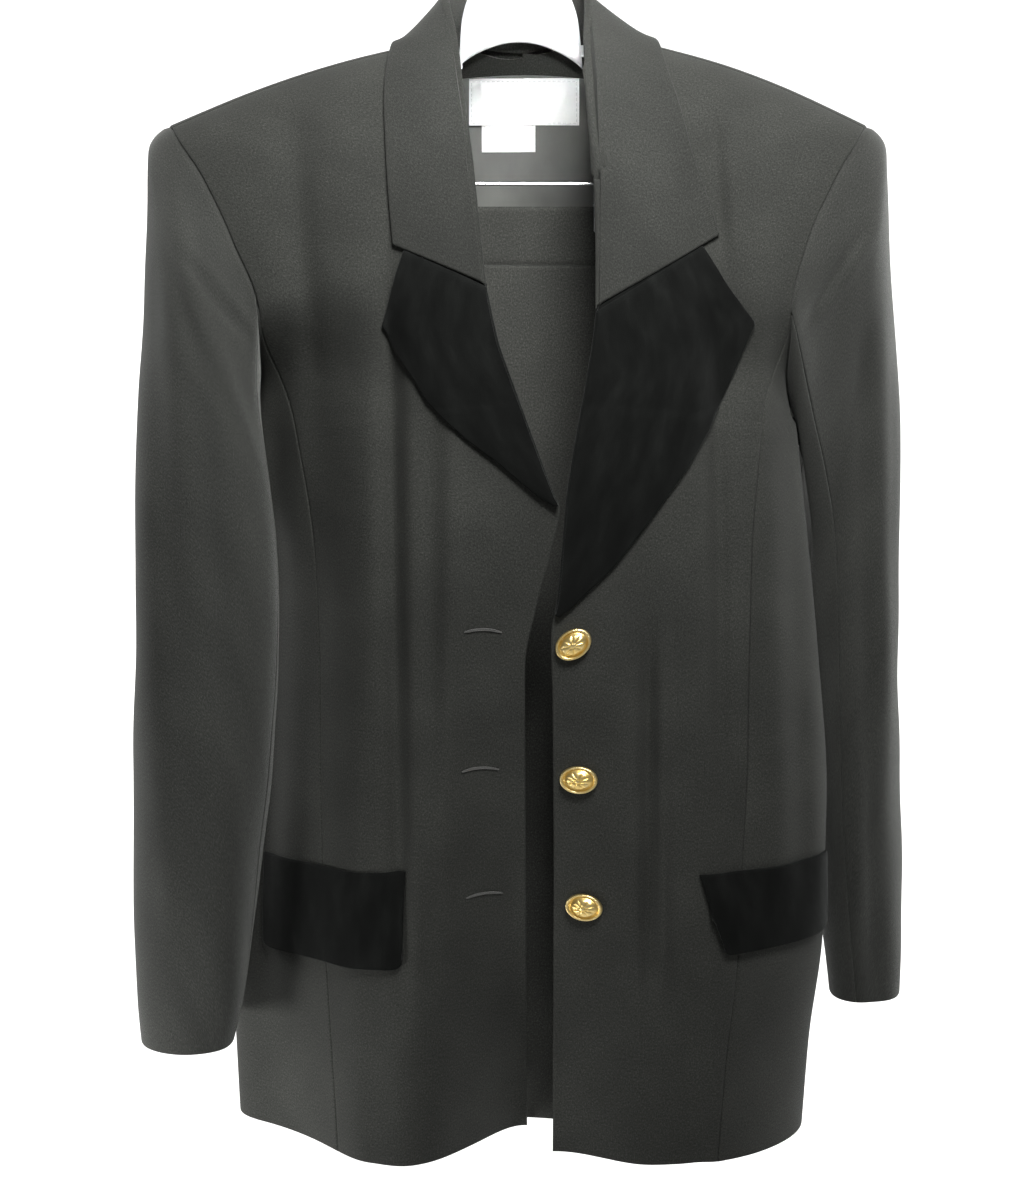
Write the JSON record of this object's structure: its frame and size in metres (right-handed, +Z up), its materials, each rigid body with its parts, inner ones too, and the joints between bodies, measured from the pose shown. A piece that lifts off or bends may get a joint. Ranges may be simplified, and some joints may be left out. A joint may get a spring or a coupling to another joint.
{
  "type": "dress suit",
  "caption": "Long padded-shoulder jacket with velvet lapels and pocket flaps and gilt buttons, hung over a straight skirt on a clear plastic hanger.",
  "frame": {"origin": "underside of the crown of the hanger's hook, where a rod holds it", "axes": "+Z up, -Y toward the front of the jacket, +X toward the viewer's right of the front"},
  "size_m": [0.4957, 0.2025, 0.8234],
  "materials": {
    "wool": "fine charcoal wool, brushed matt",
    "sleeve_wool": "fine charcoal wool, brushed matt",
    "skirt_wool": "fine charcoal wool, brushed matt",
    "velvet": "black cotton velvet, soft pile",
    "satin": "smooth grey lining satin",
    "gilt": "polished gilt metal",
    "clear_plastic": "clear moulded plastic, slightly frosted",
    "steel": "bright plated wire"
  },
  "bodies": {
    "root": {"left_front": "wool", "right_front": "wool", "left_side_panel": "wool", "right_side_panel": "wool", "left_back": "wool", "right_back": "wool", "collar": "wool", "left_upper_sleeve": "sleeve_wool", "left_under_sleeve": "sleeve_wool", "right_upper_sleeve": "sleeve_wool", "right_under_sleeve": "sleeve_wool", "skirt_front": "skirt_wool", "skirt_back": "skirt_wool", "waistband": "skirt_wool", "left_lapel": "velvet", "right_lapel": "velvet", "left_pocket_flap": "velvet", "right_pocket_flap": "velvet", "back_lining": "satin", "button_top": "gilt", "button_middle": "gilt", "button_bottom": "gilt", "hanger": "clear_plastic", "clip_left": "clear_plastic", "clip_right": "clear_plastic", "hook": "steel", "skirt_bar": "steel"}
  },
  "joints": []
}
